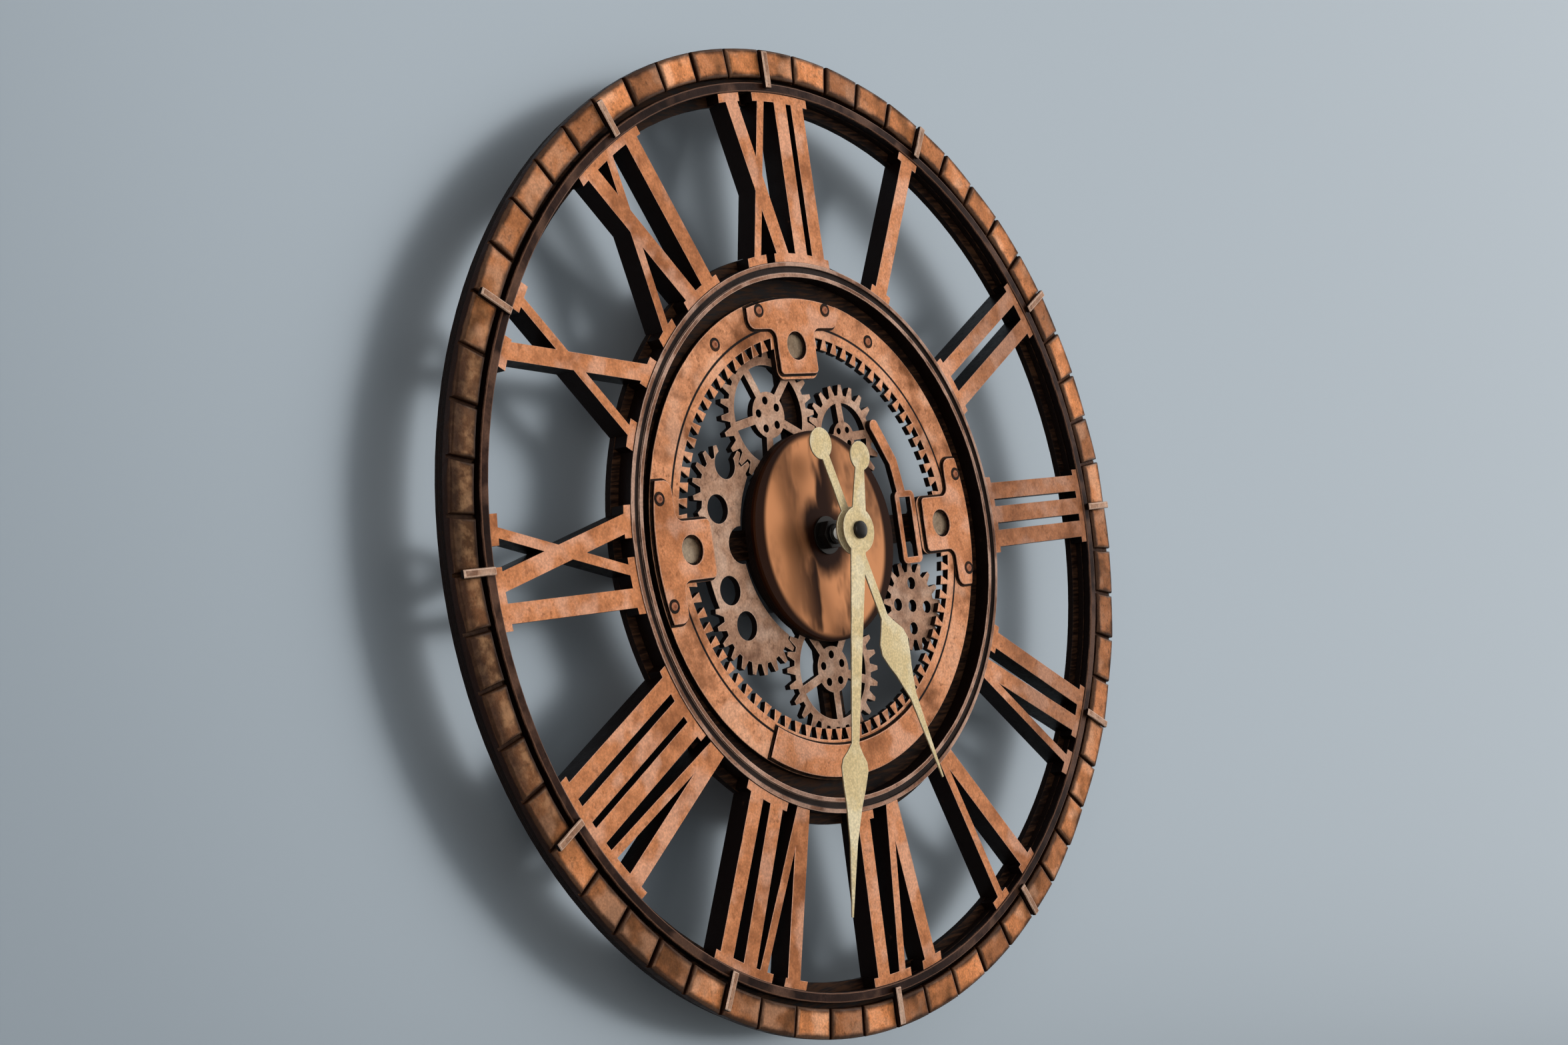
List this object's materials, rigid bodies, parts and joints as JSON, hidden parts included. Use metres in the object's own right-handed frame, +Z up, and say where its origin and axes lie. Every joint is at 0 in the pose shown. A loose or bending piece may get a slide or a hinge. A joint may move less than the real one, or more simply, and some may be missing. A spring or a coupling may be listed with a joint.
{
  "type": "wall clock",
  "caption": "Round skeleton wall clock of layered wood: bricked outer ring, open Roman numerals, toothed inner dial with gears, centre disc, spade hands and a battery movement behind.",
  "frame": {"origin": "on the hands' axis, in the flat rear face of the movement that lies against the wall", "axes": "+Z up to the twelve, +X to the three, -Y out of the wall towards the viewer, so +Y points into the wall"},
  "size_m": [0.4, 0.0483, 0.4],
  "materials": {
    "copper_stained_wood": "cut sheet with a rubbed copper-orange stain, darker in grooves and on cut edges",
    "dark_stained_wood": "near-black brown stain on the back layers",
    "polished_copper_disc": "polished copper-coloured sheet with a bright bevelled edge",
    "case_plastic": "fine matt black moulding",
    "hanger_steel": "zinc-plated pressed sheet",
    "washer_rubber": "matt black",
    "blackened_fixing": "blackened, low gloss",
    "arbor_brass": "turned",
    "wheel_plastic": "moulded, off-white",
    "rotor_magnet": "grey magnet on a moulded arbor",
    "stator_steel": "stamped sheet",
    "contact_steel": "nickel-plated spring sheet",
    "coil_copper": "fine enamelled wire",
    "board_resin": "printed board, green mask",
    "crystal_can": "drawn can",
    "cell_jacket": "plain dark sleeve with a bare copper-coloured band",
    "cream_enamel": "stamped sheet painted satin cream"
  },
  "bodies": {
    "dial": {"battery_contacts": "contact_steel", "bracket_left": "copper_stained_wood", "bracket_right": "copper_stained_wood", "bracket_top": "copper_stained_wood", "brick_ring": "copper_stained_wood", "carrier_cross": "dark_stained_wood", "centre_disc": "polished_copper_disc", "circuit_board": "board_resin", "core_disc": "dark_stained_wood", "disc_spacer": "dark_stained_wood", "drive_coil": "coil_copper", "flat_washer": "blackened_fixing", "gear_lower": "copper_stained_wood", "gear_lower_right": "copper_stained_wood", "gear_upper_left": "copper_stained_wood", "gear_upper_right": "copper_stained_wood", "hanger": "hanger_steel", "hex_nut": "blackened_fixing", "hour_markers": "copper_stained_wood", "inner_back_ring": "dark_stained_wood", "inner_face_ring": "copper_stained_wood", "left_gear_plate": "copper_stained_wood", "lower_arc_plate": "copper_stained_wood", "movement_case": "case_plastic", "movement_rear_cover": "case_plastic", "numeral_i": "copper_stained_wood", "numeral_ii": "copper_stained_wood", "numeral_iii": "copper_stained_wood", "numeral_iv": "copper_stained_wood", "numeral_ix": "copper_stained_wood", "numeral_v": "copper_stained_wood", "numeral_vi": "copper_stained_wood", "numeral_vii": "copper_stained_wood", "numeral_viii": "copper_stained_wood", "numeral_x": "copper_stained_wood", "numeral_xi": "copper_stained_wood", "numeral_xii": "copper_stained_wood", "outer_back_ring": "dark_stained_wood", "outer_lip_ring": "copper_stained_wood", "outer_rim_ring": "dark_stained_wood", "quartz_crystal": "crystal_can", "rivets": "copper_stained_wood", "rubber_washer": "washer_rubber", "slotted_link": "copper_stained_wood", "stator": "stator_steel", "threaded_bush": "blackened_fixing", "toothed_dial": "copper_stained_wood"},
    "minute": {"minute_arbor": "arbor_brass", "minute_hand": "cream_enamel", "cap_nut": "blackened_fixing"},
    "hour": {"hour_wheel": "wheel_plastic", "hour_hand": "cream_enamel"},
    "intermediate": {"intermediate_wheel": "wheel_plastic"},
    "knob": {"setting_knob": "case_plastic"},
    "rotor": {"rotor": "rotor_magnet"},
    "fifth": {"fifth_wheel": "wheel_plastic"},
    "seconds": {"seconds_wheel": "wheel_plastic"},
    "third": {"third_wheel": "wheel_plastic"},
    "centre": {"centre_wheel": "wheel_plastic"},
    "battery": {"battery": "cell_jacket"}
  },
  "joints": [
    {"name": "minute_turn", "type": "hinge", "parent": "dial", "child": "minute", "pos_m": [0, 0, 0], "axis": [0, 1, 0], "continuous": true},
    {"name": "hour_turn", "type": "hinge", "parent": "dial", "child": "hour", "pos_m": [0, 0, 0], "axis": [0, 1, 0], "continuous": true},
    {"name": "intermediate_turn", "type": "hinge", "parent": "dial", "child": "intermediate", "pos_m": [0.01128, 0, 0.0041], "axis": [0, 1, 0], "continuous": true},
    {"name": "knob_turn", "type": "hinge", "parent": "dial", "child": "knob", "pos_m": [0.01336, 0, 0.01592], "axis": [0, 1, 0], "continuous": true},
    {"name": "rotor_turn", "type": "hinge", "parent": "dial", "child": "rotor", "pos_m": [-0.02189, 0, 0.00963], "axis": [0, 1, 0], "continuous": true},
    {"name": "fifth_turn", "type": "hinge", "parent": "dial", "child": "fifth", "pos_m": [-0.01452, 0, 0.01479], "axis": [0, 1, 0], "continuous": true},
    {"name": "seconds_turn", "type": "hinge", "parent": "dial", "child": "seconds", "pos_m": [-0.00402, 0, 0.01479], "axis": [0, 1, 0], "continuous": true},
    {"name": "third_turn", "type": "hinge", "parent": "dial", "child": "third", "pos_m": [-0.00942, 0, 0.00544], "axis": [0, 1, 0], "continuous": true},
    {"name": "centre_turn", "type": "hinge", "parent": "dial", "child": "centre", "pos_m": [0, 0, 0], "axis": [0, 1, 0], "continuous": true},
    {"name": "battery_slide", "type": "slide", "parent": "dial", "child": "battery", "axis": [0, 1, 0], "range_m": [0, 0.03]}
  ],
  "couplings": [
    {"joint": "hour_turn", "follows": "minute_turn", "ratio": 0.083333},
    {"joint": "intermediate_turn", "follows": "minute_turn", "ratio": -0.33333},
    {"joint": "knob_turn", "follows": "minute_turn", "ratio": 1},
    {"joint": "fifth_turn", "follows": "rotor_turn", "ratio": -0.2},
    {"joint": "seconds_turn", "follows": "rotor_turn", "ratio": 0.033333},
    {"joint": "third_turn", "follows": "rotor_turn", "ratio": -0.0041667},
    {"joint": "centre_turn", "follows": "rotor_turn", "ratio": 0.00055556}
  ]
}
